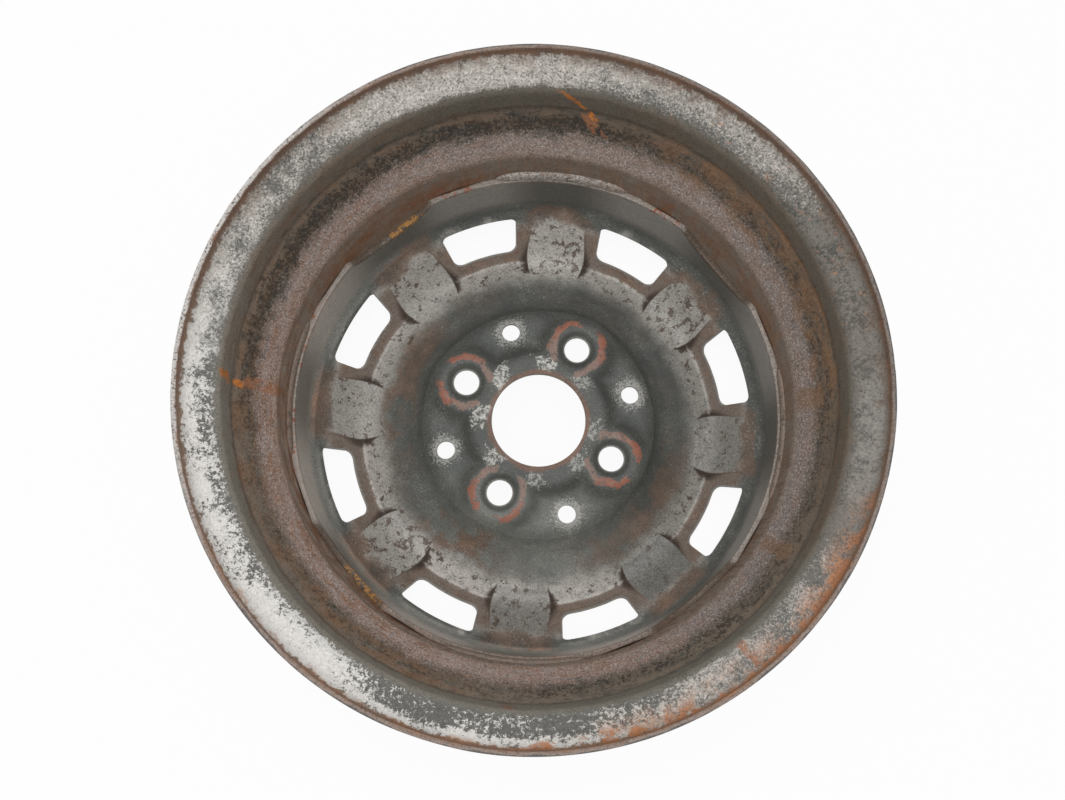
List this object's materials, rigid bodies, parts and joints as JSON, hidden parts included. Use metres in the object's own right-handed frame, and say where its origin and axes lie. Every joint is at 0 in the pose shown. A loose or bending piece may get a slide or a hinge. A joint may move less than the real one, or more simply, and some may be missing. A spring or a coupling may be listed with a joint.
{
  "type": "steel wheel rim",
  "caption": "Pressed steel car wheel with a drop-centre rim, a vented spoked disc welded inside it, a hub bore and a ring of bolt seats, rusty and worn.",
  "frame": {"origin": "centre of the bore on the face that meets the hub", "axes": "+Z along the wheel axis towards the inboard side, +X through the middle of a skirt lobe"},
  "size_m": [0.3643, 0.3644, 0.1638],
  "materials": {
    "rim_steel": "old silver paint, mostly gone to brown rust, rough and pitted",
    "disc_steel": "dull grey-green paint with worn silver patches and brown rust",
    "weld_steel": "rough silver weld metal"
  },
  "bodies": {
    "root": {"rim": "rim_steel", "disc": "disc_steel", "weld_beads": "weld_steel"}
  },
  "joints": []
}
